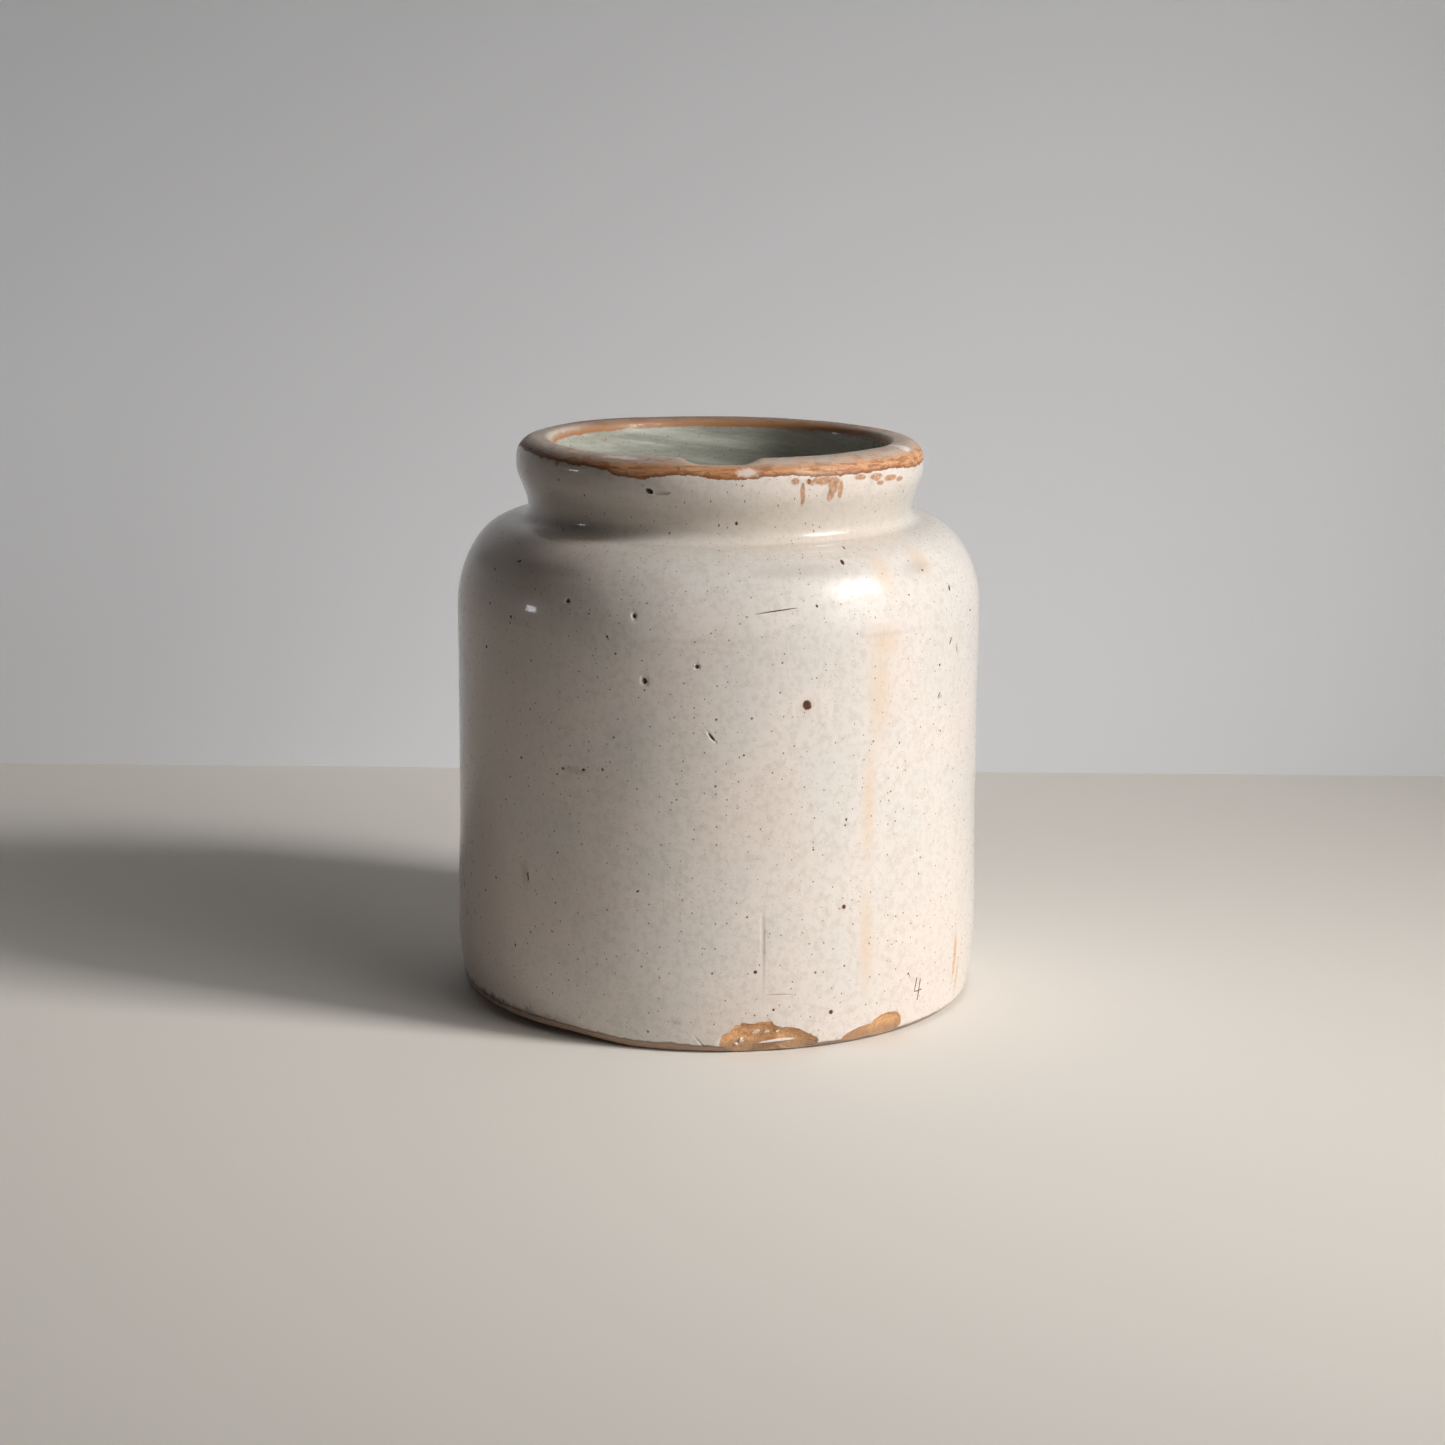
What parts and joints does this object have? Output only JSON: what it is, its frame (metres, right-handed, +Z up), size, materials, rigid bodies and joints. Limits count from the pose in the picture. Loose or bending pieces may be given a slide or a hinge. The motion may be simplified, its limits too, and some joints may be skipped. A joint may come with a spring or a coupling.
{
  "type": "butter crock",
  "caption": "Round stoneware crock with a straight glazed body, domed shoulder, short neck and a thick rolled lip left bare of glaze.",
  "frame": {"origin": "on the pot's axis, in the plane of the flat base", "axes": "+Z up along the pot's axis; the pot is round, so X and Y are free"},
  "size_m": [0.2051, 0.2052, 0.217],
  "materials": {
    "stoneware": "satin cream glaze over orange-brown stoneware, bare on the lip and under the foot"
  },
  "bodies": {
    "root": {"crock": "stoneware"}
  },
  "joints": []
}
